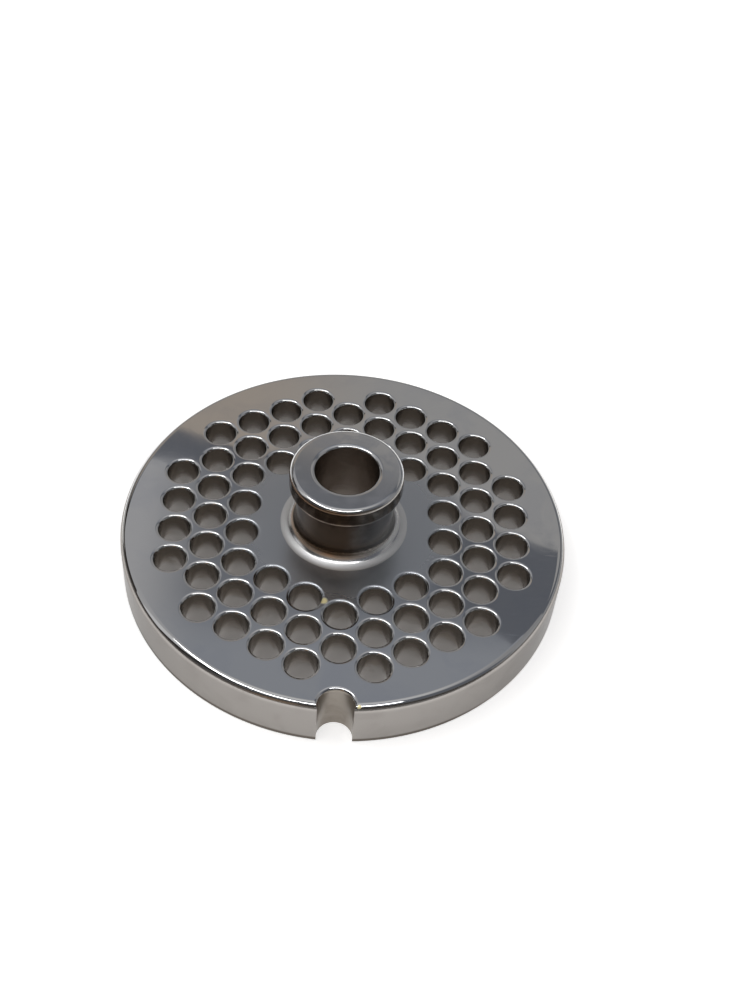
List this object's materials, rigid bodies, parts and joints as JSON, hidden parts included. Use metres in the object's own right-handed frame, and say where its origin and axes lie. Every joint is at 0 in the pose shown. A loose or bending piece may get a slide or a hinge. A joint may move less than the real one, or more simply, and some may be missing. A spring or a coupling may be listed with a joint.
{
  "type": "meat grinder plate",
  "caption": "Round perforated steel disc with a flanged central hub, a through bore and a round-ended locating notch in its rim.",
  "frame": {"origin": "on the bore's axis, in the plane of the flat cutting face that the knife runs on", "axes": "+Z along the bore axis from the cutting face to the hub; -Y from the axis to the notch in the rim"},
  "size_m": [0.07, 0.0699, 0.0205],
  "materials": {
    "steel": "polished stainless steel with fine wear"
  },
  "bodies": {
    "root": {"grinder_plate": "steel"}
  },
  "joints": []
}
